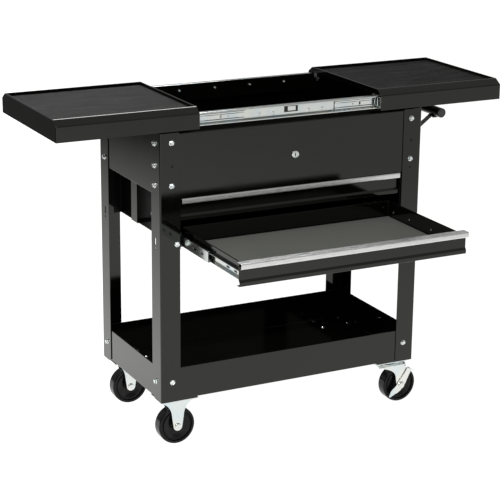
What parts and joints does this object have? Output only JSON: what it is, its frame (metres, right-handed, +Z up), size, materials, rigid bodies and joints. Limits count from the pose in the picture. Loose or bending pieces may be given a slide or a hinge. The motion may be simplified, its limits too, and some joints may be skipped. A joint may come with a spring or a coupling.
{
  "type": "tool cart",
  "caption": "Black steel service cart: open chest under a top that splits into sliding trays, ball-bearing drawers, deep lower shelf, rigid and braked swivel casters, push bar.",
  "frame": {"origin": "on the floor, at the centre of the bounding box of the cart as stored, with both trays and the lower drawer open", "axes": "+X to the cart's right, towards the push bar, along the trays' slide; -Y to the front, the way the drawers open; +Z up"},
  "size_m": [1.286, 0.728, 0.901],
  "materials": {
    "black_enamel": "glossy black powder coat",
    "zinc_plate": "bright zinc plate",
    "brushed_aluminium": "brushed along its length",
    "black_rubber": "ribbed matt rubber",
    "grey_foam": "fine matt foam liner",
    "black_wheel": "hard black wheel, satin"
  },
  "bodies": {
    "cart_frame": {"front_left_leg": "black_enamel", "front_right_leg": "black_enamel", "tray_rail_front": "zinc_plate", "back_left_leg": "black_enamel", "back_right_leg": "black_enamel", "tray_rail_back": "zinc_plate", "lower_shelf": "black_enamel", "chest_front": "black_enamel", "chest_back": "black_enamel", "chest_left": "black_enamel", "chest_right": "black_enamel", "drawer_housing": "black_enamel", "handle": "black_enamel", "upper_drawer_cabinet_slide_left": "zinc_plate", "upper_drawer_cabinet_slide_right": "zinc_plate", "lower_drawer_cabinet_slide_left": "zinc_plate", "lower_drawer_cabinet_slide_right": "zinc_plate", "front_left_fork": "zinc_plate", "front_left_axle": "zinc_plate", "front_right_swivel_plate": "zinc_plate", "back_left_fork": "zinc_plate", "back_left_axle": "zinc_plate", "back_right_swivel_plate": "zinc_plate"},
    "left_tray": {"left_tray_pan": "black_enamel", "left_tray_mat": "black_rubber", "left_tray_runner_front": "zinc_plate", "left_tray_runner_back": "zinc_plate"},
    "left_tray_cages": {"left_tray_cage_front": "zinc_plate", "left_tray_cage_back": "zinc_plate"},
    "right_tray": {"right_tray_pan": "black_enamel", "right_tray_mat": "black_rubber", "right_tray_runner_front": "zinc_plate", "right_tray_runner_back": "zinc_plate"},
    "right_tray_cages": {"right_tray_cage_front": "zinc_plate", "right_tray_cage_back": "zinc_plate"},
    "upper_drawer": {"upper_drawer_pan": "black_enamel", "upper_drawer_pull": "brushed_aluminium", "upper_drawer_liner": "grey_foam", "upper_drawer_runner_left": "zinc_plate", "upper_drawer_runner_right": "zinc_plate"},
    "upper_drawer_middles": {"upper_drawer_middle_slide_left": "zinc_plate", "upper_drawer_middle_slide_right": "zinc_plate"},
    "lower_drawer": {"lower_drawer_pan": "black_enamel", "lower_drawer_pull": "brushed_aluminium", "lower_drawer_liner": "grey_foam", "lower_drawer_runner_left": "zinc_plate", "lower_drawer_runner_right": "zinc_plate"},
    "lower_drawer_middles": {"lower_drawer_middle_slide_left": "zinc_plate", "lower_drawer_middle_slide_right": "zinc_plate"},
    "front_left_wheel": {"front_left_wheel": "black_wheel"},
    "back_left_wheel": {"back_left_wheel": "black_wheel"},
    "front_right_swivel": {"front_right_fork": "zinc_plate", "front_right_axle": "zinc_plate"},
    "front_right_wheel": {"front_right_wheel": "black_wheel"},
    "front_right_brake": {"front_right_brake": "zinc_plate"},
    "back_right_swivel": {"back_right_fork": "zinc_plate", "back_right_axle": "zinc_plate"},
    "back_right_wheel": {"back_right_wheel": "black_wheel"},
    "back_right_brake": {"back_right_brake": "zinc_plate"},
    "lock_cylinder": {"lock_cylinder": "zinc_plate"}
  },
  "joints": [
    {"name": "left_tray_slide", "type": "slide", "parent": "cart_frame", "child": "left_tray", "axis": [1, 0, 0], "range_m": [0, 0.27]},
    {"name": "left_tray_cage_slide", "type": "slide", "parent": "cart_frame", "child": "left_tray_cages", "axis": [1, 0, 0], "range_m": [0, 0.135]},
    {"name": "right_tray_slide", "type": "slide", "parent": "cart_frame", "child": "right_tray", "axis": [-1, 0, 0], "range_m": [-0.018, 0.252]},
    {"name": "right_tray_cage_slide", "type": "slide", "parent": "cart_frame", "child": "right_tray_cages", "axis": [-1, 0, 0], "range_m": [-0.009, 0.126]},
    {"name": "upper_drawer_slide", "type": "slide", "parent": "cart_frame", "child": "upper_drawer", "axis": [0, -1, 0], "range_m": [0, 0.344]},
    {"name": "upper_drawer_middle_slide", "type": "slide", "parent": "cart_frame", "child": "upper_drawer_middles", "axis": [0, -1, 0], "range_m": [0, 0.172]},
    {"name": "lower_drawer_slide", "type": "slide", "parent": "cart_frame", "child": "lower_drawer", "axis": [0, 1, 0], "range_m": [-0.012, 0.332]},
    {"name": "lower_drawer_middle_slide", "type": "slide", "parent": "cart_frame", "child": "lower_drawer_middles", "axis": [0, 1, 0], "range_m": [-0.006, 0.166]},
    {"name": "front_left_wheel_spin", "type": "hinge", "parent": "cart_frame", "child": "front_left_wheel", "pos_m": [-0.317, 0.009, 0.0508], "axis": [0, 1, 0], "continuous": true},
    {"name": "back_left_wheel_spin", "type": "hinge", "parent": "cart_frame", "child": "back_left_wheel", "pos_m": [-0.317, 0.323, 0.0508], "axis": [0, 1, 0], "continuous": true},
    {"name": "front_right_swivel_turn", "type": "hinge", "parent": "cart_frame", "child": "front_right_swivel", "pos_m": [0.333, 0.009, 0.12], "axis": [0, 0, 1], "continuous": true},
    {"name": "front_right_wheel_spin", "type": "hinge", "parent": "front_right_swivel", "child": "front_right_wheel", "pos_m": [0.369, 0.009, 0.0508], "axis": [0, 1, 0], "continuous": true},
    {"name": "front_right_brake_rock", "type": "hinge", "parent": "front_right_swivel", "child": "front_right_brake", "pos_m": [0.369, 0.009, 0.0508], "axis": [0, 1, 0], "range_deg": [0, 20]},
    {"name": "back_right_swivel_turn", "type": "hinge", "parent": "cart_frame", "child": "back_right_swivel", "pos_m": [0.333, 0.323, 0.12], "axis": [0, 0, 1], "continuous": true},
    {"name": "back_right_wheel_spin", "type": "hinge", "parent": "back_right_swivel", "child": "back_right_wheel", "pos_m": [0.369, 0.323, 0.0508], "axis": [0, 1, 0], "continuous": true},
    {"name": "back_right_brake_rock", "type": "hinge", "parent": "back_right_swivel", "child": "back_right_brake", "pos_m": [0.369, 0.323, 0.0508], "axis": [0, 1, 0], "range_deg": [0, 20]},
    {"name": "lock_turn", "type": "hinge", "parent": "cart_frame", "child": "lock_cylinder", "pos_m": [0.009, -0.0297, 0.755], "axis": [0, 1, 0], "range_deg": [0, 90]}
  ],
  "couplings": [
    {"joint": "left_tray_cage_slide", "follows": "left_tray_slide", "ratio": 0.5},
    {"joint": "right_tray_cage_slide", "follows": "right_tray_slide", "ratio": 0.5},
    {"joint": "upper_drawer_middle_slide", "follows": "upper_drawer_slide", "ratio": 0.5},
    {"joint": "lower_drawer_middle_slide", "follows": "lower_drawer_slide", "ratio": 0.5}
  ]
}
